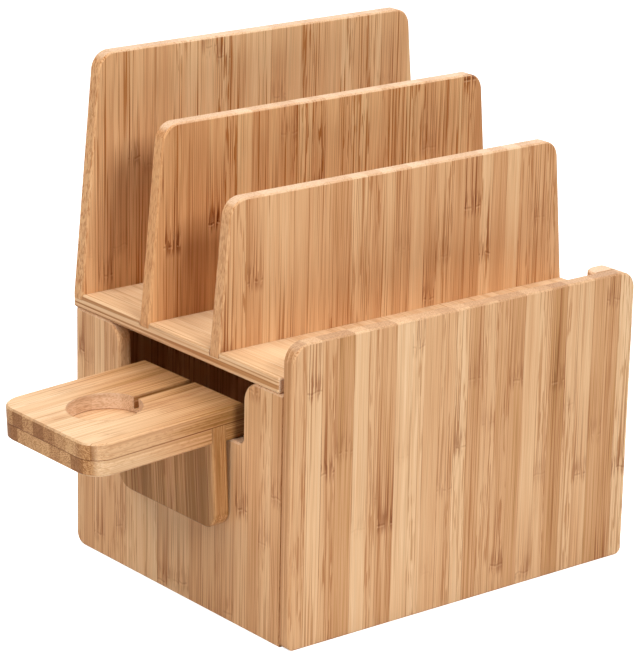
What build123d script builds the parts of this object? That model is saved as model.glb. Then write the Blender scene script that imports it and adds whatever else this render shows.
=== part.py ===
from build123d import *
import math
import os

# Bamboo charging station: a box for chargers, a lift-off rack with three dividers,
# and a watch charger holder that hooks over the notch in the box's left side.
# Sizes in millimetres. X runs across the front, Y runs back and Z is up.
# The origin is the middle of the box's underside.

# Boards
board = 6.4                    # thickness of every board, a quarter of an inch
edge_ease = 0.7                # sanded off the edges that a hand meets

# Box
box_width = 180.0
box_depth = 146.0
side_height = 104.5
front_rise = 21.5              # of the front panel above the sides
front_top_radius = 8.0
front_bottom_radius = 3.0
side_foot_radius = 5.0         # lower rear corner of a side panel
back_setback = 6.4             # from the sides' rear ends to the back panel

# Notch in each side panel
notch_width = 84.1
notch_drop = 27.1              # from the side's top to the sill
notch_foot_radius = 3.0
notch_mouth_radius = 8.5

# Opening for the mains lead in the back panel
lead_opening_width = 44.0
lead_opening_height = 22.0
lead_opening_rise = 34.0       # from the table to the opening's middle

# Block behind the front panel's top right corner
block_width = 17.6
block_depth = 7.6
block_end_radius = 6.0         # its free rear corner, seen from above
block_clearance = 0.6          # between the block and the shelf's corner cut

# Rack
rack_extra = 2.4               # of the rack's width over the box's, all at the right
rack_gap = 2.4                 # between the front panel and the shelf
rack_overhang = 1.9            # of the shelf past the side panels' rear ends
shelf_corner_radius = 1.2
divider_rises = (61.1, 81.1, 101.1)   # above the shelf: front, middle, rear
divider_taper = 5.2            # lean of each side edge, in degrees
divider_corner_radius = 8.0
dado_depth = 2.5
cable_slot_width = 60.0
cable_slot_depth = 12.0
cable_slot_place_share = 0.4   # of each bay's depth, from its front

# Cleats under the shelf
cleat_height = 8.0
cleat_side_clearance = 1.5
cleat_end_clearance = 0.6

# Watch charger holder
layer = 6.8                    # each of the slab's two layers, and the outer plate
droop = 3.1                    # the slab's outer end hangs down, in degrees
slab_width = 66.6
slab_reach = 65.6              # from the box's side to the slab's outer end
slab_corner_radius = 10.0
slab_shift = -1.0              # of the holder along the sill, from the notch's middle
plate_drop = 37.2              # of the outer plate below the slab
plate_corner_radius = 8.0
plate_clearance = 0.25         # between the plate's foot and the box's side
hook_thickness = 6.4
hook_drop = 24.0
hook_corner_radius = 6.0
hook_clearance = 0.6           # between the hook plate and the wall's inner face
rest_clearance = 0.15          # between the slab and the sill
pocket_radius = 15.2
pocket_inset = 29.1            # from the slab's outer end to the pocket's middle
lead_slot_width = 3.6
lead_slot_depth = 5.2

# Dowels
dowel_radius = 1.5
dowel_glue_gap = 0.1
dowel_bite = 4.0               # hole's depth in the face of a board
dowel_reach = 14.0             # hole's depth in the end of a board
dowel_end_gap = 0.3
dowel_height_shares = (0.2, 0.62)           # of the side panel's height
dowel_length_shares = (0.25, 0.75)          # of the bottom board's length
dowel_width_share = 0.28                    # of the slab's width, from its middle
wall_block_dowel_reach = 6.0

# Places worked out from the sizes
front_height = side_height + front_rise
sill_height = side_height - notch_drop
side_outer = box_width / 2
side_inner = side_outer - board
front_outer = -box_depth / 2
front_inner = front_outer + board
side_rear = box_depth / 2
back_rear = side_rear - back_setback
back_front = back_rear - board
side_middle = (front_inner + side_rear) / 2
bottom_length = back_front - front_inner

shelf_front = front_inner + rack_gap
shelf_rear = side_rear + rack_overhang
shelf_middle = (shelf_front + shelf_rear) / 2
shelf_top = side_height + board
rack_width = box_width + rack_extra
rack_half = rack_width / 2
rack_shift = rack_extra / 2
dado_floor = shelf_top - dado_depth
divider_pitch = (shelf_rear - front_inner) / len(divider_rises)
divider_fronts = [
    front_inner + divider_pitch * step - board
    for step in range(1, len(divider_rises) + 1)
]
bay_fronts = [shelf_front] + [front + board for front in divider_fronts[:2]]
cable_slot_middles = [
    near + cable_slot_place_share * (far - near)
    for near, far in zip(bay_fronts, divider_fronts)
]

bore_radius = dowel_radius + dowel_glue_gap
corner_cut_left = side_outer - block_width - block_clearance
corner_cut_rear = front_inner + block_depth + block_clearance

slab_top = 2 * layer
plate_inner = -plate_drop * math.tan(math.radians(droop)) - plate_clearance
plate_outer = plate_inner - layer
hook_outer = board + hook_clearance
pocket_middle = pocket_inset - slab_reach


def round_faces(plane, places, radius):
    """Circles at the given places of a plane, for dowels and their holes."""
    with BuildSketch(plane) as circles:
        with Locations(*places):
            Circle(radius)
    return circles.sketch


def add_pegs(plane, places, ahead, behind):
    """Dowels through a plane, in holes that reach so far ahead of it and so far behind it."""
    peg_ends = round_faces(plane.offset(ahead - dowel_end_gap), places, dowel_radius)
    extrude(peg_ends, amount=2 * dowel_end_gap - ahead - behind)


# Box: front panel
front_joint = Plane.XZ.offset(-front_inner)
front_dowel_places = [
    (side * (side_outer - board / 2), share * side_height)
    for side in (-1, 1)
    for share in dowel_height_shares
]

with BuildPart() as front_panel:
    with BuildSketch(front_joint) as front_outline:
        Rectangle(box_width, front_height, align=(Align.CENTER, Align.MIN))
        fillet(front_outline.vertices().group_by(Axis.Y)[-1], front_top_radius)
        fillet(front_outline.vertices().group_by(Axis.Y)[0], front_bottom_radius)
    extrude(amount=board)
    front_rim = front_panel.edges().group_by(Axis.Y)
    chamfer(front_rim[0] + front_rim[-1], edge_ease)
    front_holes = round_faces(front_joint, front_dowel_places, bore_radius)
    extrude(front_holes, amount=dowel_bite, mode=Mode.SUBTRACT)
front_panel.part.label = "front_panel"
export_step(front_panel.part, "parts/front_panel.step")

# Box: side panels, the right one mirrored
left_inside = Plane.YZ.offset(-side_inner)
back_dowel_places = [(back_front + board / 2, share * side_height) for share in dowel_height_shares]
bottom_dowel_places = [(front_inner + share * bottom_length, board / 2) for share in dowel_length_shares]

with BuildPart() as left_side_panel:
    with BuildSketch(Plane.YZ.offset(-side_outer)) as side_outline:
        with Locations((side_middle, 0)):
            Rectangle(side_rear - front_inner, side_height, align=(Align.CENTER, Align.MIN))
        with Locations((0, sill_height)):
            Rectangle(notch_width, side_height - sill_height,
                      align=(Align.CENTER, Align.MIN), mode=Mode.SUBTRACT)
        notch_mouth = side_outline.vertices().group_by(Axis.Y)[-1].sort_by(Axis.X)[1:3]
        fillet(notch_mouth, notch_mouth_radius)
        notch_foot = side_outline.vertices().filter_by_position(Axis.Y, sill_height, sill_height)
        fillet(notch_foot, notch_foot_radius)
        fillet(side_outline.vertices().group_by(Axis.Y)[0].sort_by(Axis.X)[-1], side_foot_radius)
    extrude(amount=board)
    outer_rim = left_side_panel.edges().group_by(Axis.X)[0].sort_by(Axis.Y)[1:]
    inner_rim = left_side_panel.edges().group_by(Axis.X)[-1]
    notch_rim = inner_rim.filter_by_position(Axis.Z, sill_height, side_height)
    chamfer(outer_rim + notch_rim, edge_ease)
    side_end_holes = round_faces(front_joint, front_dowel_places, bore_radius)
    extrude(side_end_holes, amount=-dowel_reach, mode=Mode.SUBTRACT)
    side_face_holes = round_faces(left_inside, back_dowel_places + bottom_dowel_places, bore_radius)
    extrude(side_face_holes, amount=-dowel_bite, mode=Mode.SUBTRACT)
left_side_panel.part.label = "left_side_panel"
export_step(left_side_panel.part, "parts/left_side_panel.step")

with BuildPart() as right_side_panel:
    mirror(left_side_panel.part, about=Plane.YZ)
right_side_panel.part.label = "right_side_panel"
export_step(right_side_panel.part, "parts/right_side_panel.step")

# Box: back panel, set in between the sides
with BuildPart() as back_panel:
    with BuildSketch(Plane.XZ.offset(-back_rear)):
        Rectangle(2 * side_inner, side_height, align=(Align.CENTER, Align.MIN))
        with Locations((0, lead_opening_rise)):
            SlotOverall(lead_opening_width, lead_opening_height, mode=Mode.SUBTRACT)
    extrude(amount=board)
    for side in (-1, 1):
        end_plane = Plane.YZ.offset(side * side_inner)
        end_holes = round_faces(end_plane, back_dowel_places, bore_radius)
        extrude(end_holes, amount=-side * dowel_reach, mode=Mode.SUBTRACT)
back_panel.part.label = "back_panel"
export_step(back_panel.part, "parts/back_panel.step")

# Box: bottom board, flush with the panels' lower edges
with BuildPart() as bottom_board:
    with BuildSketch():
        with Locations((0, front_inner)):
            Rectangle(2 * side_inner, bottom_length, align=(Align.CENTER, Align.MIN))
    extrude(amount=board)
    for side in (-1, 1):
        end_plane = Plane.YZ.offset(side * side_inner)
        end_holes = round_faces(end_plane, bottom_dowel_places, bore_radius)
        extrude(end_holes, amount=-side * dowel_reach, mode=Mode.SUBTRACT)
bottom_board.part.label = "bottom_board"
export_step(bottom_board.part, "parts/bottom_board.step")

# Box: corner block, glued behind the front panel on the right side panel
with BuildPart() as corner_block:
    with BuildSketch(front_joint) as block_outline:
        with Locations((side_outer, side_height)):
            Rectangle(block_width, front_height - side_height, align=(Align.MAX, Align.MIN))
        fillet(block_outline.vertices().group_by(Axis.Y)[-1].sort_by(Axis.X)[-1], front_top_radius)
    extrude(amount=-block_depth)
    block_uprights = corner_block.edges().filter_by(Axis.Z).group_by(Axis.Y)[-1].sort_by(Axis.X)
    fillet(block_uprights[0], block_end_radius)
    block_top_rim = corner_block.faces().sort_by(Axis.Z)[-1].edges().sort_by(Axis.Y)[1:]
    block_rear_rim = corner_block.edges().group_by(Axis.Y)[-1].sort_by(Axis.X)[-2:]
    chamfer(block_top_rim.sort_by(Axis.X)[:-1] + block_rear_rim, edge_ease)
corner_block.part.label = "corner_block"
export_step(corner_block.part, "parts/corner_block.step")

# Box: dowels
with BuildPart() as front_dowels:
    add_pegs(front_joint, front_dowel_places, ahead=dowel_bite, behind=dowel_reach)
front_dowels.part.label = "front_dowels"
export_step(front_dowels.part, "parts/front_dowels.step")

with BuildPart() as back_dowels:
    add_pegs(left_inside, back_dowel_places, ahead=dowel_reach, behind=dowel_bite)
    mirror(about=Plane.YZ)
back_dowels.part.label = "back_dowels"
export_step(back_dowels.part, "parts/back_dowels.step")

with BuildPart() as bottom_dowels:
    add_pegs(left_inside, bottom_dowel_places, ahead=dowel_reach, behind=dowel_bite)
    mirror(about=Plane.YZ)
bottom_dowels.part.label = "bottom_dowels"
export_step(bottom_dowels.part, "parts/bottom_dowels.step")

# Rack: shelf, with a dado for each divider and a cable slot in each bay
with BuildPart() as shelf:
    with BuildSketch(Plane.XY.offset(side_height)) as shelf_outline:
        with Locations((rack_shift, shelf_middle)):
            Rectangle(rack_width, shelf_rear - shelf_front)
        fillet(shelf_outline.vertices(), shelf_corner_radius)
    extrude(amount=board)
    chamfer(shelf.edges().group_by(Axis.Z)[-1] + shelf.edges().group_by(Axis.Z)[0], edge_ease)
    with BuildSketch(Plane.XY.offset(side_height)):
        with Locations((corner_cut_left, shelf_front)):
            Rectangle(rack_width, corner_cut_rear - shelf_front, align=Align.MIN)
        with Locations(*[(rack_shift, middle) for middle in cable_slot_middles]):
            SlotOverall(cable_slot_width, cable_slot_depth)
    extrude(amount=board, mode=Mode.SUBTRACT)
    with BuildSketch(Plane.XY.offset(dado_floor)):
        with Locations(*[(rack_shift, front) for front in divider_fronts]):
            Rectangle(rack_width, board, align=(Align.CENTER, Align.MIN))
    extrude(amount=dado_depth, mode=Mode.SUBTRACT)
shelf.part.label = "shelf"
export_step(shelf.part, "parts/shelf.step")

# Rack: dividers, upright in their dados
divider_names = ("front_divider", "middle_divider", "rear_divider")
for name, front, rise in zip(divider_names, divider_fronts, divider_rises):
    half_top = rack_half - rise * math.tan(math.radians(divider_taper))
    with BuildPart() as divider:
        with BuildSketch(Plane.XZ.offset(-front)) as divider_outline:
            with BuildLine():
                Polyline(
                    (rack_shift - rack_half, dado_floor),
                    (rack_shift - rack_half, shelf_top),
                    (rack_shift - half_top, shelf_top + rise),
                    (rack_shift + half_top, shelf_top + rise),
                    (rack_shift + rack_half, shelf_top),
                    (rack_shift + rack_half, dado_floor),
                    close=True,
                )
            make_face()
            fillet(divider_outline.vertices().group_by(Axis.Y)[-1], divider_corner_radius)
        extrude(amount=-board)
        face_rims = divider.edges().group_by(Axis.Y)
        above_shelf = (face_rims[0] + face_rims[-1]).filter_by(lambda edge: edge.center().Z > shelf_top)
        chamfer(above_shelf, edge_ease)
    divider.part.label = name
    export_step(divider.part, f"parts/{name}.step")

# Rack: cleats under the shelf, just inside the front and back panels. The front one ends
# beside the corner block, so that the rack lifts past it.
cleat_left = rack_shift - side_inner + cleat_side_clearance
cleat_right = rack_shift + side_inner - cleat_side_clearance
cleat_places = {
    "front_cleat": (front_inner + cleat_end_clearance, corner_cut_left),
    "rear_cleat": (back_front - cleat_end_clearance - board, cleat_right),
}
for name, (cleat_front, cleat_end) in cleat_places.items():
    with BuildPart() as cleat:
        with BuildSketch(Plane.XY.offset(side_height)):
            with Locations((cleat_left, cleat_front)):
                Rectangle(cleat_end - cleat_left, board, align=Align.MIN)
        extrude(amount=-cleat_height)
        chamfer(cleat.edges().group_by(Axis.Z)[0], edge_ease)
    cleat.part.label = name
    export_step(cleat.part, f"parts/{name}.step")

# Holder: its own tilted plane, with the origin over the sill's outer edge
tilt = math.radians(droop)
slab_plane = Plane(
    origin=(-side_outer, 0, sill_height + rest_clearance),
    x_dir=(math.cos(tilt), 0, math.sin(tilt)),
    z_dir=(-math.sin(tilt), 0, math.cos(tilt)),
)
slab_up = Axis(slab_plane.origin, slab_plane.z_dir)
slab_along = Axis(slab_plane.origin, slab_plane.x_dir)
seam_plane = slab_plane.offset(layer)
plate_dowel_places = [
    ((plate_inner + plate_outer) / 2, slab_shift + side * dowel_width_share * slab_width)
    for side in (-1, 1)
]

# Holder: top layer, with the charger's pocket and the slot for its lead
with BuildPart() as adapter_top_layer:
    with BuildSketch(seam_plane) as top_outline:
        with Locations((-slab_reach, slab_shift)):
            Rectangle(slab_reach + hook_outer, slab_width, align=(Align.MIN, Align.CENTER))
        fillet(top_outline.vertices().group_by(Axis.X)[0], slab_corner_radius)
    extrude(amount=layer)
    chamfer(adapter_top_layer.edges().group_by(slab_up)[-1], edge_ease)
    extrude(round_faces(seam_plane, [(pocket_middle, slab_shift)], pocket_radius), amount=layer,
            mode=Mode.SUBTRACT)
    with BuildSketch(slab_plane.offset(slab_top - lead_slot_depth)):
        with Locations((pocket_middle, slab_shift)):
            Rectangle(hook_outer - pocket_middle, lead_slot_width, align=(Align.MIN, Align.CENTER))
    extrude(amount=lead_slot_depth, mode=Mode.SUBTRACT)
    extrude(round_faces(seam_plane, plate_dowel_places, bore_radius), amount=dowel_bite, mode=Mode.SUBTRACT)
adapter_top_layer.part.label = "adapter_top_layer"
export_step(adapter_top_layer.part, "parts/adapter_top_layer.step")

# Holder: lower layer, outside the outer plate
with BuildPart() as adapter_lower_layer:
    with BuildSketch(slab_plane) as lower_outline:
        with Locations((-slab_reach, slab_shift)):
            Rectangle(slab_reach + plate_outer, slab_width, align=(Align.MIN, Align.CENTER))
        fillet(lower_outline.vertices().group_by(Axis.X)[0], slab_corner_radius)
    extrude(amount=layer)
    under_edges = adapter_lower_layer.edges().group_by(slab_up)[0]
    chamfer(under_edges.sort_by(slab_along)[:-1], edge_ease)
adapter_lower_layer.part.label = "adapter_lower_layer"
export_step(adapter_lower_layer.part, "parts/adapter_lower_layer.step")

# Holder: block over the sill, between the two plates
hook_joint = Plane(
    origin=slab_plane.from_local_coords(Vector(hook_outer, slab_shift, 0)),
    x_dir=(0, 1, 0),
    z_dir=slab_plane.x_dir,
)
hook_dowel_places = [(side * dowel_width_share * slab_width, layer / 2) for side in (-1, 1)]

with BuildPart() as adapter_wall_block:
    with BuildSketch(slab_plane):
        with Locations((plate_inner, slab_shift)):
            Rectangle(hook_outer - plate_inner, slab_width, align=(Align.MIN, Align.CENTER))
    extrude(amount=layer)
    block_holes = round_faces(hook_joint, hook_dowel_places, bore_radius)
    extrude(block_holes, amount=-wall_block_dowel_reach, mode=Mode.SUBTRACT)
adapter_wall_block.part.label = "adapter_wall_block"
export_step(adapter_wall_block.part, "parts/adapter_wall_block.step")

# Holder: outer plate, housed between the lower layer and the block
plate_joint = Plane(
    origin=slab_plane.from_local_coords(Vector(plate_outer, slab_shift, 0)),
    x_dir=(0, 1, 0),
    z_dir=slab_plane.x_dir,
)
with BuildPart() as adapter_outer_plate:
    with BuildSketch(plate_joint) as plate_outline:
        with Locations((0, layer)):
            Rectangle(slab_width, layer + plate_drop, align=(Align.CENTER, Align.MAX))
        fillet(plate_outline.vertices().group_by(Axis.Y)[0], plate_corner_radius)
    extrude(amount=layer)
    plate_face_rims = adapter_outer_plate.edges().group_by(slab_along)
    chamfer(plate_face_rims[0].sort_by(slab_up)[:-1], edge_ease)
    plate_holes = round_faces(seam_plane, plate_dowel_places, bore_radius)
    extrude(plate_holes, amount=-dowel_reach, mode=Mode.SUBTRACT)
adapter_outer_plate.part.label = "adapter_outer_plate"
export_step(adapter_outer_plate.part, "parts/adapter_outer_plate.step")

# Holder: hook plate inside the wall
with BuildPart() as adapter_hook_plate:
    with BuildSketch(hook_joint) as hook_outline:
        with Locations((0, layer)):
            Rectangle(slab_width, layer + hook_drop, align=(Align.CENTER, Align.MAX))
        fillet(hook_outline.vertices().group_by(Axis.Y)[0], hook_corner_radius)
    extrude(amount=hook_thickness)
    hook_holes = round_faces(hook_joint, hook_dowel_places, bore_radius)
    extrude(hook_holes, amount=dowel_bite, mode=Mode.SUBTRACT)
adapter_hook_plate.part.label = "adapter_hook_plate"
export_step(adapter_hook_plate.part, "parts/adapter_hook_plate.step")

# Holder: dowels
with BuildPart() as adapter_dowels:
    add_pegs(seam_plane, plate_dowel_places, ahead=dowel_bite, behind=dowel_reach)
    add_pegs(hook_joint, hook_dowel_places, ahead=dowel_bite, behind=wall_block_dowel_reach)
adapter_dowels.part.label = "adapter_dowels"
export_step(adapter_dowels.part, "parts/adapter_dowels.step")
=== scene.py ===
# %% [markdown]
# A bamboo charging station, dressed in Blender
#
# The boards come ready made from the CAD model: a box, a rack of dividers and a hook-on
# holder for a watch charger. Nothing here moves or resizes them. What the model lacks is
# what makes bamboo look like bamboo: strips of different tone glued side by side, fine
# fibres, the dark marks of the cane's joints, and speckled end grain.
# Sizes are in metres.

# %% The frame
import math
from types import SimpleNamespace

import bpy
from mathutils import Matrix, Vector


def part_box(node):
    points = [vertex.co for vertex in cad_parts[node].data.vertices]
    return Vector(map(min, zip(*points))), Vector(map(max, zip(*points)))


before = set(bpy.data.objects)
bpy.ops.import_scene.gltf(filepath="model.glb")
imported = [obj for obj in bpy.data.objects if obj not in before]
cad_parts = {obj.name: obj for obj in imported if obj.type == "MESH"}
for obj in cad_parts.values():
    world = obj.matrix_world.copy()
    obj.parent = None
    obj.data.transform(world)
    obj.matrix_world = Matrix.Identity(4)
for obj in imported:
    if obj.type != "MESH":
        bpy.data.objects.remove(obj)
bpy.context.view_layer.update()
millimetre = 0.001
print("boards in the frame:", len(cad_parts))

# %% [markdown]
# Camera
#
# The photograph's straight edges fix the camera: all boards meet at right angles, so the
# lines that should be parallel tell where it stood. It looks from the left front and a
# little from above, from rather far, and it was held almost level. The focal length is
# that of the same view on a film 36 mm wide.

# %% Camera
camera_place = Vector((-0.7938, -0.9581, 0.4943))
camera_azimuth = math.radians(38.985)
camera_drop = math.radians(17.670)
camera_roll = math.radians(1.237)
focal_length = 176.30
film_width = 36.0

forward = Vector((
    math.cos(camera_drop) * math.sin(camera_azimuth),
    math.cos(camera_drop) * math.cos(camera_azimuth),
    -math.sin(camera_drop),
))
level_right = forward.cross(Vector((0, 0, 1))).normalized()
level_up = level_right.cross(forward)
right = level_right * math.cos(camera_roll) + level_up * math.sin(camera_roll)
up = right.cross(forward)

camera_data = bpy.data.cameras.new("camera")
camera_data.lens = focal_length
camera_data.sensor_fit = "HORIZONTAL"
camera_data.sensor_width = film_width
camera = bpy.data.objects.new("camera", camera_data)
camera_turn = Matrix((right, up, -forward)).transposed().to_4x4()
camera.matrix_world = Matrix.Translation(camera_place) @ camera_turn
bpy.context.scene.collection.objects.link(camera)
bpy.context.scene.camera = camera
print("camera distance:", round(camera_place.length, 3))

# %% [markdown]
# Small helpers for shader nodes
#
# A material is a graph of nodes, and graphs are long to write out. A few short helpers
# keep the recipe readable. One adds a node and feeds its sockets, each with either a
# number or another node's output. The others are for sums, noise and colours.

# %% Adding nodes
def feed(tree, socket, value):
    """Links value to the socket if it is an output, and otherwise sets it."""
    if isinstance(value, bpy.types.NodeSocket):
        tree.links.new(value, socket)
    else:
        socket.default_value = value


def add(tree, kind, settings=(), **inputs):
    """A new node with settings such as its operation, and its inputs fed by name."""
    made = tree.nodes.new(kind)
    for name, value in dict(settings).items():
        setattr(made, name, value)
    for name, value in inputs.items():
        feed(tree, made.inputs[name.replace("_", " ")], value)
    return made


def point(tree, x=0.0, y=0.0, z=0.0):
    """Three numbers as one vector."""
    return add(tree, "ShaderNodeCombineXYZ", X=x, Y=y, Z=z).outputs[0]


print("helpers for nodes ready")


# %% Sums
def calc(tree, operation, *values):
    """One sum on numbers: the values go into the node's inputs in order."""
    made = add(tree, "ShaderNodeMath", {"operation": operation})
    for socket, value in zip(made.inputs, values):
        feed(tree, socket, value)
    return made.outputs[0]


def scaled(tree, value, factor, offset=0.0):
    """The value times the factor, plus the offset."""
    return calc(tree, "MULTIPLY_ADD", value, factor, offset)


def centred(tree, value, swing, middle=0.0):
    """Noise from 0 to 1, moved to swing about the middle."""
    return scaled(tree, calc(tree, "SUBTRACT", value, 0.5), swing, middle)


def product(tree, value, *factors):
    """The value times each of the factors."""
    for factor in factors:
        value = calc(tree, "MULTIPLY", value, factor)
    return value


def rising(tree, value, low, high):
    """0 below low, 1 above high and a smooth step between them."""
    made = add(tree, "ShaderNodeMapRange", {"interpolation_type": "SMOOTHSTEP"})
    for name, number in (("Value", value), ("From Min", low), ("From Max", high)):
        feed(tree, made.inputs[name], number)
    return made.outputs["Result"]


def falling(tree, value, low, high):
    """1 below low, 0 above high and a smooth step between them."""
    return calc(tree, "SUBTRACT", 1.0, rising(tree, value, low, high))


print("helpers for sums ready")


# %% Noise and colours
def noise(tree, place, detail=2.0, roughness=0.5):
    """Cloudy noise from 0 to 1 at a place that is already scaled."""
    made = add(tree, "ShaderNodeTexNoise", Vector=place, Scale=1.0, Detail=detail,
               Roughness=roughness)
    return made.outputs["Fac"]


def blend(tree, share, first, second, mode="MIX"):
    """Two colours mixed by a share from 0 to 1."""
    made = add(tree, "ShaderNodeMix", {"data_type": "RGBA", "blend_type": mode})
    share_socket, first_socket, second_socket = made.inputs[0], made.inputs[6], made.inputs[7]
    feed(tree, share_socket, share)
    feed(tree, first_socket, first)
    feed(tree, second_socket, second)
    return made.outputs[2]


def tinted(tree, share, colour, tint):
    """A colour darkened by a tint, in part or in full."""
    return blend(tree, share, colour, tint, "MULTIPLY")


def ramp(tree, value, stops):
    """A colour ramp: stops are pairs of a place and a colour."""
    made = add(tree, "ShaderNodeValToRGB", Fac=value)
    band = made.color_ramp
    while len(band.elements) < len(stops):
        band.elements.new(0.5)
    for element, (place, colour) in zip(band.elements, stops):
        element.position = place
        element.color = colour
    return made.outputs["Color"]


def paint(red, green, blue):
    """A colour as a painter reads it off a screen, 0 to 255, turned into light."""
    def linear(part):
        share = part / 255
        return share / 12.92 if share <= 0.04045 else ((share + 0.055) / 1.055) ** 2.4
    return (linear(red), linear(green), linear(blue), 1.0)


print("mid grey as light:", round(paint(128, 128, 128)[0], 3))

# %% [markdown]
# Bamboo
#
# A bamboo board is made of strips about 7.5 mm wide, split from the cane, planed and glued
# side by side. So the pattern is worked out from three numbers: how far a point lies across
# the strips, along them and through the board. An image of bamboo would repeat and would
# have to be unwrapped on every board. Worked out in space, the strips run right through
# the wood, and the end grain meets the face at every edge.
#
# Two ramps give the colour, a straw one and a redder one, and each board lies somewhere
# between them. The end grain has its own two, because a sawn end drinks the oil and turns
# brown, and a sanded or freshly milled one stays pale. Dark marks multiply the colour by a
# tint, and the bright lip of a joint is mixed in as a glint.

# %% Colours of the bamboo
straw_stops = (
    (0.00, paint(148, 104, 58)),
    (0.20, paint(188, 141, 93)),
    (0.45, paint(212, 167, 125)),
    (0.70, paint(225, 188, 147)),
    (1.00, paint(240, 211, 175)),
)
honey_stops = (
    (0.00, paint(142, 84, 46)),
    (0.20, paint(184, 125, 79)),
    (0.45, paint(209, 154, 105)),
    (0.70, paint(224, 175, 125)),
    (1.00, paint(236, 198, 150)),
)
brown_end_stops = (
    (0.10, paint(134, 86, 48)),
    (0.50, paint(176, 127, 82)),
    (0.90, paint(208, 164, 116)),
)
pale_end_stops = (
    (0.10, paint(186, 144, 110)),
    (0.50, paint(219, 183, 150)),
    (0.90, paint(236, 208, 180)),
)
line_tint = paint(196, 160, 122)
joint_tint = paint(168, 118, 68)
streak_tint = paint(186, 142, 96)
glint = paint(238, 200, 154)
print("pale straw as light:", [round(part, 2) for part in straw_stops[-1][1][:3]])

# %% [markdown]
# Strips
#
# A strip's number is the distance across, divided by the strip's width and rounded down.
# White noise turns that number into the strip's own random draws: one for its tone, one
# for its kind and its place on the cane, and one for its fibres. That is why neighbours
# differ so sharply. The seed is the board's own, and moves the strips as well, so no two
# boards are cut alike.
#
# Some strips are calm, and most are busy with dark lines. The palest are crackled with
# short flecks as well.

# %% Strips
strip_width = 7.5 * millimetre
border_wander = 7.0 * millimetre
wanders_per_metre = 60.0
shift_per_seed = 1.37 * millimetre
longest_slide = 1.9
lane_spacing = 61.0
busy_from = (0.20, 0.34)
pale_from = (0.60, 0.66)
calm_share = 0.25


def lay_strips(tree, given):
    """The strips' numbers, borders, random draws and kinds at a point of the board."""
    across, seed = given["Across"], given["Seed"]
    wander = noise(tree, point(tree, scaled(tree, across, wanders_per_metre), seed), 1.0)
    wandered = centred(tree, wander, border_wander, across)
    shifted = calc(tree, "ADD", wandered, scaled(tree, seed, shift_per_seed))
    counted = calc(tree, "DIVIDE", shifted, strip_width)
    number = calc(tree, "FLOOR", counted)

    own = add(tree, "ShaderNodeTexWhiteNoise", {"noise_dimensions": "2D"},
              Vector=point(tree, number, seed))
    draws = add(tree, "ShaderNodeSeparateXYZ", Vector=own.outputs["Color"]).outputs
    tone_draw, place_draw, lane_draw = draws[0], draws[1], draws[2]
    return SimpleNamespace(
        number=number,
        within=calc(tree, "FRACT", counted),
        tone_draw=tone_draw,
        place_draw=place_draw,
        slid=scaled(tree, place_draw, longest_slide, given["Along"]),
        lane=scaled(tree, lane_draw, lane_spacing),
        pale_kind=rising(tree, place_draw, *pale_from),
        busy_kind=scaled(tree, rising(tree, place_draw, *busy_from), 1.0 - calm_share, calm_share),
    )


print("strips are", round(strip_width / millimetre, 1), "mm wide")

# %% [markdown]
# Fibres
#
# Noise stretched along the grain makes the fibres. They come in four sizes: broad bands,
# threads, hairs and short flecks. A slower noise sways them a little sideways as they run.
# Each strip reads the noise in a lane of its own, slid along by its own amount, so nothing
# lines up from strip to strip.

# %% Fibres
# Cells of noise per metre across and along the grain, its detail, and where it starts
fibre_sizes = {
    "bands": (300.0, 5.0, 1.0, 0.0),
    "threads": (1400.0, 10.0, 2.0, 5.0),
    "hairs": (2600.0, 18.0, 1.0, 11.0),
    "flecks": (1500.0, 60.0, 1.0, 17.0),
}
fibre_sway = 0.9 * millimetre
sways_along, sways_across = 14.0, 100.0


def spin_fibres(tree, given, strip):
    """One noise from 0 to 1 for each size of fibre."""
    sway_place = point(tree, scaled(tree, strip.slid, sways_along),
                       scaled(tree, given["Across"], sways_across), strip.lane)
    swayed = centred(tree, noise(tree, sway_place, 1.0), fibre_sway, given["Across"])
    spun = {}
    for name, (thinness, length, detail, start) in fibre_sizes.items():
        place = point(tree, scaled(tree, swayed, thinness, strip.lane),
                      scaled(tree, strip.slid, length, start),
                      scaled(tree, given["Through"], thinness, start))
        spun[name] = noise(tree, place, detail, 0.55)
    return SimpleNamespace(**spun)


print("sizes of fibre:", ", ".join(fibre_sizes))

# %% [markdown]
# Tone
#
# Tone is one number from 0, dark, to 1, pale, and the ramps turn it into a colour. It
# starts at the middle, moved by the board's lift. The strip adds its own tone, as far as
# the board has variety, a slow noise along the strip adds another, and each size of fibre
# but the flecks swings it about. An edge along the grain is a little darker than a face,
# and its bands are weaker.
#
# Dark lines are drawn over the colour where the noise of the fibres is high.

# %% Tone
# How far each thing swings the tone about, lifts it or lowers it
strip_swing = 0.80
band_swing = 0.45
slow_swing = 0.30
thread_swing = 0.45
hair_swing = 1.00
pale_strip_lift = 0.22
weaker_bands_at_edges = 0.30
darker_at_edges = 0.10


def strip_tone(tree, given, strip, fibre):
    """Where a point lies on the colour ramps."""
    drawn_tone = centred(tree, strip.tone_draw, strip_swing, -0.05)
    own_tone = scaled(tree, strip.pale_kind, pale_strip_lift, drawn_tone)
    lifted = scaled(tree, given["Lift"], 1.0, 0.50)
    tone = scaled(tree, own_tone, given["Variety"], lifted)
    band_strength = scaled(tree, given["Side"], -weaker_bands_at_edges, band_swing)
    tone = centred(tree, fibre.bands, band_strength, tone)
    slow = noise(tree, point(tree, scaled(tree, strip.slid, 12.0), strip.number, 3.0), 2.0)
    tone = centred(tree, slow, slow_swing, tone)
    tone = centred(tree, fibre.threads, thread_swing, tone)
    tone = centred(tree, fibre.hairs, hair_swing, tone)
    return scaled(tree, given["Side"], -darker_at_edges, tone)


print("a strip's own tone swings by", strip_swing)


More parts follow.
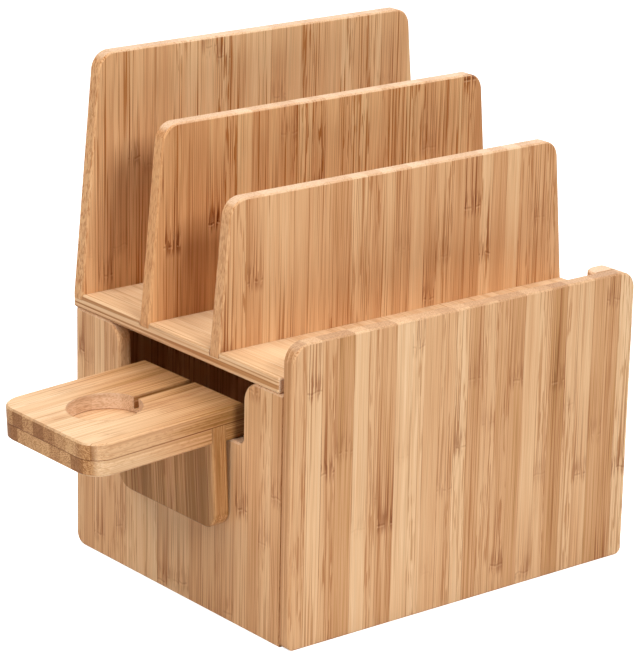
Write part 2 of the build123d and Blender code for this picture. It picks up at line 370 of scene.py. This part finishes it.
# %% Dark lines
def draw_lines(tree, given, strip, fibre, colour):
    """Long lines along the threads, fine ones along the hairs, and flecks on pale strips."""
    long_lines = product(tree, rising(tree, fibre.threads, 0.55, 0.60), strip.busy_kind)
    fine_lines = product(tree, rising(tree, fibre.hairs, 0.56, 0.64), 0.50)
    patch_place = point(tree, scaled(tree, strip.slid, 26.0), scaled(tree, given["Across"], 210.0),
                        strip.lane)
    patches = rising(tree, noise(tree, patch_place, 1.0), 0.42, 0.56)
    crackle = product(tree, rising(tree, fibre.flecks, 0.54, 0.60), patches, strip.pale_kind)
    drawn = calc(tree, "MAXIMUM", calc(tree, "MAXIMUM", long_lines, fine_lines), crackle)
    fainter_at_edges = scaled(tree, given["Side"], -0.6, 1.0)
    return tinted(tree, product(tree, drawn, fainter_at_edges, given["Lines"]), colour, line_tint)


print("lines let through", [round(part, 2) for part in line_tint[:3]])

# %% [markdown]
# Joints of the cane
#
# Every strip crosses the cane's joints at even distances, some plain and many faint. A
# joint is a thin bent line over part of the strip, with a bright lip below it. Above it the
# threads turn dark and taper off like a flame, and around it they break up into short
# dashes. None shows where the strip is cut along its side.

# %% Joints
joint_spacing = 125 * millimetre
joint_bend = 3.0 * millimetre
lip_drop = 0.9 * millimetre


def draw_joints(tree, given, strip, fibre, colour):
    """The marks near each joint, from how far along the strip a point is off it."""
    across = given["Across"]
    turns = calc(tree, "DIVIDE", strip.slid, joint_spacing)
    bend = noise(tree, point(tree, scaled(tree, across, 240.0), strip.number, given["Seed"]), 0.0)
    off_joint = centred(tree, bend, joint_bend,
                        centred(tree, calc(tree, "FRACT", turns), joint_spacing))

    luck = add(tree, "ShaderNodeTexWhiteNoise", {"noise_dimensions": "3D"},
               Vector=point(tree, strip.number, calc(tree, "FLOOR", turns), given["Seed"]))
    strength = product(tree, scaled(tree, luck.outputs["Value"], 0.90, 0.10), given["Joints"],
                       calc(tree, "SUBTRACT", 1.0, given["Side"]))

    flame = product(tree, rising(tree, off_joint, -4 * millimetre, 4 * millimetre),
                    falling(tree, off_joint, 8 * millimetre, 38 * millimetre),
                    rising(tree, fibre.threads, 0.47, 0.56))
    colour = tinted(tree, product(tree, flame, strength), colour, streak_tint)

    dash_place = point(tree, scaled(tree, across, 1200.0, strip.lane),
                       scaled(tree, strip.slid, 90.0), scaled(tree, given["Through"], 1200.0))
    dashes = product(tree, rising(tree, noise(tree, dash_place, 1.0), 0.48, 0.53),
                     rising(tree, off_joint, -6 * millimetre, -1 * millimetre),
                     falling(tree, off_joint, 2 * millimetre, 10 * millimetre))
    colour = tinted(tree, product(tree, dashes, strength, 0.90), colour, joint_tint)

    part_place = point(tree, scaled(tree, across, 330.0), strip.number, 9.0)
    parts = product(tree, rising(tree, noise(tree, part_place, 0.0), 0.47, 0.51), strength)
    line = falling(tree, calc(tree, "ABSOLUTE", off_joint), 0.2 * millimetre, 0.5 * millimetre)
    colour = tinted(tree, product(tree, line, parts, 0.5), colour, joint_tint)
    off_lip = calc(tree, "ABSOLUTE", calc(tree, "ADD", off_joint, lip_drop))
    lip = falling(tree, off_lip, 0.1 * millimetre, 0.5 * millimetre)
    return blend(tree, product(tree, lip, parts, 0.3), colour, glint)


print("joints every", round(joint_spacing / millimetre), "mm")

# %% [markdown]
# Glue lines, end grain and edges
#
# The glue between two strips shows here and there as a thin line on the faces. At a sawn
# end, the cut fibres lie as short slanting specks, and each strip leans its own way, as
# its ring of the cane did. An edge along the grain shows short dashes where the saw
# crossed the fibres at a slant, or long streaks where it ran along them.

# %% Glue lines
def glue_lines(tree, given, strip):
    """1 on the border between two strips, and 0 away from it."""
    to_border = calc(tree, "MINIMUM", strip.within, calc(tree, "SUBTRACT", 1.0, strip.within))
    glue = falling(tree, product(tree, to_border, strip_width), 0.05 * millimetre, 0.30 * millimetre)
    return product(tree, glue, scaled(tree, given["Side"], -0.9, 1.0))


def draw_glue(tree, given, strip, glue, colour):
    """The glue line, plain in some places and almost gone in others."""
    place = point(tree, scaled(tree, given["Along"], 22.0), strip.number, 6.0)
    seen = rising(tree, noise(tree, place, 1.0), 0.46, 0.60)
    return tinted(tree, product(tree, glue, scaled(tree, seen, 0.70, 0.10)), colour, line_tint)


print("glue lines ready")


# %% End grain
def end_grain(tree, given, strip):
    """The colour of a sawn end: slanting specks on the strip's own tone."""
    lean = centred(tree, strip.place_draw, 2.4)
    leaning = scaled(tree, given["Across"], lean, given["Through"])
    speck_place = point(tree, scaled(tree, given["Across"], 1400.0),
                        scaled(tree, leaning, 2700.0), scaled(tree, given["Along"], 300.0))
    specks = rising(tree, noise(tree, speck_place, 0.0), 0.34, 0.60)
    brown_tone = centred(tree, strip.tone_draw, 0.75, scaled(tree, specks, 0.42, 0.22))
    pale_tone = centred(tree, strip.tone_draw, 0.30, scaled(tree, specks, 0.28, 0.40))
    return blend(tree, given["Pale"], ramp(tree, brown_tone, brown_end_stops),
                 ramp(tree, pale_tone, pale_end_stops))


print("brownest and palest end grain:", [round(stops[at][1][0], 2) for stops, at in
                                         ((brown_end_stops, 0), (pale_end_stops, -1))])


# %% Edges along the grain
def mark_edges(tree, given, colour):
    """Dashes or streaks on an edge, by how nicked the board is."""
    nicks = given["Nicks"]
    nick_place = point(tree, scaled(tree, given["Through"], 1200.0),
                       scaled(tree, given["Along"], 330.0), scaled(tree, given["Across"], 60.0))
    nick = product(tree, rising(tree, noise(tree, nick_place, 2.0, 0.6), 0.50, 0.60),
                   scaled(tree, calc(tree, "POWER", nicks, 2.0), 0.65))
    streak_place = point(tree, scaled(tree, given["Through"], 640.0),
                         scaled(tree, given["Along"], 5.0), given["Seed"])
    streak = product(tree, rising(tree, noise(tree, streak_place, 1.0), 0.49, 0.56),
                     calc(tree, "SUBTRACT", 0.85, nicks))
    marks = product(tree, calc(tree, "MAXIMUM", nick, streak), given["Side"])
    return tinted(tree, marks, colour, line_tint)


print("edges ready")


# %% The bamboo recipe
def bamboo_group():
    """The whole pattern as one reusable node: places in, colour and height out."""
    tree = bpy.data.node_groups.new("laminated_bamboo", "ShaderNodeTree")
    for name in ("Across", "Along", "Through", "Seed", "Warmth", "Lift", "Variety", "Lines",
                 "Joints", "Pale", "End", "Side", "Nicks"):
        tree.interface.new_socket(name, in_out="INPUT", socket_type="NodeSocketFloat")
    tree.interface.new_socket("Color", in_out="OUTPUT", socket_type="NodeSocketColor")
    tree.interface.new_socket("Height", in_out="OUTPUT", socket_type="NodeSocketFloat")
    given = tree.nodes.new("NodeGroupInput").outputs

    strip = lay_strips(tree, given)
    fibre = spin_fibres(tree, given, strip)
    glue = glue_lines(tree, given, strip)

    tone = strip_tone(tree, given, strip, fibre)
    colour = blend(tree, given["Warmth"], ramp(tree, tone, straw_stops), ramp(tree, tone, honey_stops))
    colour = draw_lines(tree, given, strip, fibre, colour)
    colour = draw_joints(tree, given, strip, fibre, colour)
    colour = draw_glue(tree, given, strip, glue, colour)
    colour = blend(tree, given["End"], colour, end_grain(tree, given, strip))
    colour = mark_edges(tree, given, colour)

    height = scaled(tree, fibre.threads, 0.6, scaled(tree, fibre.hairs, 0.4))
    height = scaled(tree, glue, -0.5, height)
    shown = tree.nodes.new("NodeGroupOutput")
    tree.links.new(colour, shown.inputs["Color"])
    tree.links.new(height, shown.inputs["Height"])
    return tree


bamboo_recipe = bamboo_group()
print("bamboo recipe nodes:", len(bamboo_recipe.nodes))

# %% [markdown]
# One finish for each board
#
# No two boards are cut from the same strips, so each gets its own seed, and the grain
# runs a different way on an upright board, on the shelf and on the holder. The fibres
# run up the panels and dividers, from front to back on the shelf and outwards on the
# holder's slab. The holder droops, so its pattern is turned by the same angle to keep
# the strips in line with the slab.
#
# The surface is planed, oiled and sealed: half matt, with a thin sheen. The Bevel node
# rounds the light on every sharp edge by about half a millimetre, as sandpaper does.

# %% Where a point of a board lies
def board_places(tree, origin, turn):
    """A point's place on the board, and which way its surface faces, in the board's axes."""
    where = add(tree, "ShaderNodeTexCoord").outputs
    place = add(tree, "ShaderNodeMapping", {"vector_type": "TEXTURE"}, Vector=where["Object"],
                Location=origin, Rotation=(0, turn, 0)).outputs[0]
    facing = add(tree, "ShaderNodeMapping", {"vector_type": "TEXTURE"}, Vector=where["Normal"],
                 Rotation=(0, turn, 0)).outputs[0]
    places = add(tree, "ShaderNodeSeparateXYZ", Vector=place).outputs
    facings = add(tree, "ShaderNodeSeparateXYZ", Vector=facing).outputs
    return places, facings


def turned_to(tree, facings, axis):
    """1 where the surface faces along the axis, and 0 where it lies along it."""
    return rising(tree, calc(tree, "ABSOLUTE", facings[axis]), 0.55, 0.85)


print("a board's places run along X, Y and Z")


# %% Pocket and seam
def inside_hole(tree, places, middle, radius):
    """1 inside a round hole and on its wall, and 0 outside it."""
    away = add(tree, "ShaderNodeVectorMath", {"operation": "DISTANCE"})
    feed(tree, away.inputs[0], point(tree, places["X"], places["Y"], 0.0))
    feed(tree, away.inputs[1], middle)
    return falling(tree, away.outputs["Value"], radius, radius + 0.3 * millimetre)


def draw_seam(tree, height, seam, flat, colour):
    """The glue between two layers, seen where the surface isn't flat on it."""
    off_seam = calc(tree, "ABSOLUTE", calc(tree, "SUBTRACT", height, seam))
    line = calc(tree, "SUBTRACT", 0.75, rising(tree, off_seam, 0.08 * millimetre, 0.30 * millimetre))
    line = calc(tree, "MAXIMUM", calc(tree, "SUBTRACT", line, flat), 0.0)
    return tinted(tree, line, colour, joint_tint)


print("pocket and seam ready")

# %% Board finish
edge_softness = 0.6 * millimetre
grain_depth = 0.05 * millimetre


def bamboo_finish(name, across, along, through, seed, warmth=0.3, lift=0.0, variety=0.5,
                  lines=0.6, joints=0.6, pale=1.0, nicks=0.8, origin=(0, 0, 0), turn=0.0,
                  painted_shade=None, pocket=None, seam=None):
    """A bamboo material whose strips lie across one axis and run along another.

    Painted shade is a start, an end and a depth: the tone is lowered along the grain from
    the start to the end, as painted shade. A pocket is a round hole's middle and radius,
    and pale end grain shows all round its wall. A seam is the height at which two layers
    are glued flat on each other.
    """
    finish = bpy.data.materials.new(name)
    finish.use_nodes = True
    tree = finish.node_tree
    surface = tree.nodes["Principled BSDF"]
    surface.inputs["Specular IOR Level"].default_value = 0.12

    places, facings = board_places(tree, origin, turn)
    end, side, flat = (turned_to(tree, facings, axis) for axis in (along, across, through))
    # Painted shade: the tone drops along the grain from the start to the end.
    if painted_shade:
        begins, ends, depth = painted_shade
        lift = scaled(tree, rising(tree, places[along], begins, ends), -depth, lift)
    if pocket:
        pale = inside_hole(tree, places, *pocket)
        wall = product(tree, pale, calc(tree, "SUBTRACT", 1.0, flat))
        end = calc(tree, "MAXIMUM", end, wall)

    pattern = tree.nodes.new("ShaderNodeGroup")
    pattern.node_tree = bamboo_recipe
    for socket, value in {
        "Across": places[across], "Along": places[along], "Through": places[through],
        "Seed": seed, "Warmth": warmth, "Lift": lift, "Variety": variety, "Lines": lines,
        "Joints": joints, "Pale": pale, "Nicks": nicks, "End": end, "Side": side,
    }.items():
        feed(tree, pattern.inputs[socket], value)
    colour, height = pattern.outputs["Color"], pattern.outputs["Height"]
    if seam is not None:
        colour = draw_seam(tree, places[through], seam, flat, colour)
    tree.links.new(colour, surface.inputs["Base Color"])
    tree.links.new(scaled(tree, height, -0.22, 0.54), surface.inputs["Roughness"])

    soft_edge = add(tree, "ShaderNodeBevel", {"samples": 6}, Radius=edge_softness)
    grain = add(tree, "ShaderNodeBump", Strength=0.3, Distance=grain_depth, Height=height,
                Normal=soft_edge.outputs[0])
    tree.links.new(grain.outputs[0], surface.inputs["Normal"])
    return finish


def dress(node, finish):
    """Puts a finish on a board of the frame, in place of its plain one."""
    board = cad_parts[node]
    board.data.materials.clear()
    board.data.materials.append(finish)
    for polygon in board.data.polygons:
        polygon.material_index = 0


print("edges rounded by", round(edge_softness / millimetre, 1), "mm")

# %% [markdown]
# The box and the rack
#
# Each board has its own character, read off the photograph. The front panel is pale and
# varied, the middle divider the warmest and busiest, and the shelf an even straw with its
# layers showing as streaks at its ends. The back panel and the bottom board don't show in
# the photograph, and keep the default values.

# %% Boards that face the front
facing_front = {
    "front_panel": dict(seed=203.0, warmth=0.15, lift=0.02, variety=0.65, lines=0.70,
                        joints=0.75, pale=0.5, nicks=0.4),
    "corner_block": dict(seed=243.0, warmth=0.20),
    "back_panel": dict(seed=11.0),
    "front_divider": dict(seed=1019.0, warmth=0.45, lift=0.08, variety=0.35, lines=0.80,
                          joints=0.85),
    "middle_divider": dict(seed=827.0, warmth=0.95, lift=0.14, variety=0.40, lines=1.25,
                           joints=1.25),
    "rear_divider": dict(seed=235.0, warmth=0.65, lift=0.26, variety=0.35, lines=1.00,
                         joints=1.00, nicks=1.0),
}
for node, character in facing_front.items():
    dress(node, bamboo_finish(node, "X", "Z", "Y", **character))
print("boards that face the front:", len(facing_front))

# %% Side panels
side_seeds = {"left_side_panel": 411.0, "right_side_panel": 59.0}
for node, seed in side_seeds.items():
    dress(node, bamboo_finish(node, "Y", "Z", "X", seed, warmth=0.35, lift=0.12, variety=0.50,
                              lines=0.65, joints=0.8))
print("side panels:", len(side_seeds))

# %% Shelf, bottom board and cleats
dress("shelf", bamboo_finish("shelf", "X", "Y", "Z", 267.0, warmth=0.0, lift=0.25,
                             variety=0.15, lines=0.35, joints=0.0, nicks=0.0))
dress("bottom_board", bamboo_finish("bottom_board", "X", "Y", "Z", 75.0))
cleat_seeds = {"front_cleat": 83.0, "rear_cleat": 91.0}
for node, seed in cleat_seeds.items():
    dress(node, bamboo_finish(node, "Y", "X", "Z", seed, warmth=0.5))
print("flat boards:", 2 + len(cleat_seeds))

# %% [markdown]
# The watch charger holder
#
# Its slab is two layers glued flat on each other, with strips running outwards. The seam
# between the layers shows all round, and the end shows the strips as two rows of blocks,
# out of step because each layer has its own seed. The slab is pale at its outer end, and
# painted shade darkens it towards the box, where the box and the rack shade it. Its pocket
# is freshly milled, with pale dotted walls. Its places are counted from the wall's outer
# face and the sill, turned by the droop.

# %% Watch charger holder
droop = -math.radians(3.1)
sill_height = 77.4 * millimetre
gap_over_sill = 0.15 * millimetre
sill_edge = (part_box("left_side_panel")[0].x, 0.0, sill_height + gap_over_sill)
layer_seam = 6.8 * millimetre
# Painted shade on the slab: its tone drops towards the box, where the box and the rack shade it.
painted_shade_towards_box = (-55 * millimetre, 5 * millimetre, 0.56)
pocket_middle = (-36.5 * millimetre, -1.0 * millimetre, 0.0)
pocket_radius = 15.3 * millimetre

slab_looks = {"adapter_top_layer": (499.0, 0.28), "adapter_lower_layer": (507.0, 0.34),
              "adapter_wall_block": (515.0, 0.28)}
for node, (seed, lift) in slab_looks.items():
    dress(node, bamboo_finish(node, "Y", "X", "Z", seed, warmth=0.0, lift=lift, variety=0.25,
                              lines=0.5, joints=0.3, pale=0.0, nicks=0.62, origin=sill_edge,
                              turn=droop, painted_shade=painted_shade_towards_box,
                              pocket=(pocket_middle, pocket_radius), seam=layer_seam))

plate_seeds = {"adapter_outer_plate": 323.0, "adapter_hook_plate": 131.0}
for node, seed in plate_seeds.items():
    dress(node, bamboo_finish(node, "Y", "Z", "X", seed, warmth=0.0, lift=-0.34, variety=0.3,
                              lines=0.6, joints=0.1, pale=0.0, nicks=0.6, origin=sill_edge,
                              turn=droop))
print("holder's boards:", len(slab_looks) + len(plate_seeds))

# %% Dowels
dowel_axes = {"front_dowels": ("X", "Y", "Z"), "back_dowels": ("Y", "X", "Z"),
              "bottom_dowels": ("Y", "X", "Z"), "adapter_dowels": ("Y", "X", "Z")}
for number, (node, axes) in enumerate(dowel_axes.items()):
    dress(node, bamboo_finish(node, *axes, seed=139.0 + 8 * number, warmth=0.20))
print("dressed:", sum(bool(board.data.materials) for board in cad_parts.values()))

# %% [markdown]
# Floor and light
#
# The photograph is a cut-out on white. A pale floor that gives off light of its own, but
# to the camera alone, reads as white and still takes the soft shadow. Its edge doesn't show,
# because the camera also sees a white room.
#
# The shadows tell where the lamps stood. The middle divider's shadow falls on the rear one
# a little to the right and lower down, so one lamp stood in front, a bit to the left and
# about 30 degrees up. The shelf is brighter than the upright faces, so a larger soft box
# hung overhead, a bit to the right. A third lamp, high on the left, fills the left side
# and leaves the holder's outer plate in the slab's shade.

# %% Floor
floor_reach = 1.5
floor_glow = 0.80

corners = [(x * floor_reach, y * floor_reach, 0.0) for x, y in ((-1, -1), (1, -1), (1, 1), (-1, 1))]
floor_mesh = bpy.data.meshes.new("floor")
floor_mesh.from_pydata(corners, [], [(0, 1, 2, 3)])
floor = bpy.data.objects.new("floor", floor_mesh)
bpy.context.scene.collection.objects.link(floor)

floor_paint = bpy.data.materials.new("floor_paint")
floor_paint.use_nodes = True
floor_tree = floor_paint.node_tree
floor_surface = floor_tree.nodes["Principled BSDF"]
floor_surface.inputs["Base Color"].default_value = (0.85, 0.85, 0.85, 1.0)
floor_surface.inputs["Roughness"].default_value = 0.9
seen_by_camera = add(floor_tree, "ShaderNodeLightPath").outputs["Is Camera Ray"]
glow = add(floor_tree, "ShaderNodeEmission", Color=(1, 1, 1, 1),
           Strength=product(floor_tree, seen_by_camera, floor_glow))
both = add(floor_tree, "ShaderNodeAddShader")
floor_tree.links.new(floor_surface.outputs[0], both.inputs[0])
floor_tree.links.new(glow.outputs[0], both.inputs[1])
floor_tree.links.new(both.outputs[0], floor_tree.nodes["Material Output"].inputs["Surface"])
floor_mesh.materials.append(floor_paint)
print("floor reaches", floor_reach, "m each way")

# %% Room
lamp_white = (1.0, 0.98, 0.95)

room = bpy.data.worlds.new("room")
room.use_nodes = True
room_tree = room.node_tree
room_light = room_tree.nodes["Background"]
room_light.inputs["Color"].default_value = (*lamp_white, 1.0)
room_light.inputs["Strength"].default_value = 0.06
white_wall = add(room_tree, "ShaderNodeBackground", Color=(1, 1, 1, 1), Strength=1.0)
ray = add(room_tree, "ShaderNodeLightPath").outputs
reflected = calc(room_tree, "MAXIMUM", ray["Is Glossy Ray"], ray["Is Transmission Ray"])
looking = calc(room_tree, "MAXIMUM", ray["Is Camera Ray"], reflected)
seen_room = add(room_tree, "ShaderNodeMixShader", Fac=looking)
room_tree.links.new(room_light.outputs[0], seen_room.inputs[1])
room_tree.links.new(white_wall.outputs[0], seen_room.inputs[2])
room_tree.links.new(seen_room.outputs[0], room_tree.nodes["World Output"].inputs["Surface"])
bpy.context.scene.world = room
bpy.context.scene.view_settings.view_transform = "Standard"
print("room light:", round(room_light.inputs["Strength"].default_value, 2))

# %% Lamps
aim = Vector((0.0, 0.0, 0.09))


def soft_box(name, direction, distance, size, level):
    """A square lamp that faces the object. At level 1 it alone would make a white card white."""
    lamp = bpy.data.lights.new(name, "AREA")
    lamp.size = size
    lamp.energy = level * (math.pi * distance) ** 2
    lamp.color = lamp_white
    place = aim + Vector(direction).normalized() * distance
    hung = bpy.data.objects.new(name, lamp)
    hung.location = place
    hung.rotation_euler = (aim - place).to_track_quat("-Z", "Y").to_euler()
    bpy.context.scene.collection.objects.link(hung)
    print(name, "watts:", round(lamp.energy, 1))


soft_box("front_light", (-0.18, -0.83, 0.53), distance=1.7, size=0.45, level=0.57)
soft_box("overhead_light", (0.30, 0.00, 0.95), distance=1.6, size=0.9, level=0.68)
soft_box("left_light", (-0.70, 0.05, 0.71), distance=1.6, size=0.9, level=0.58)
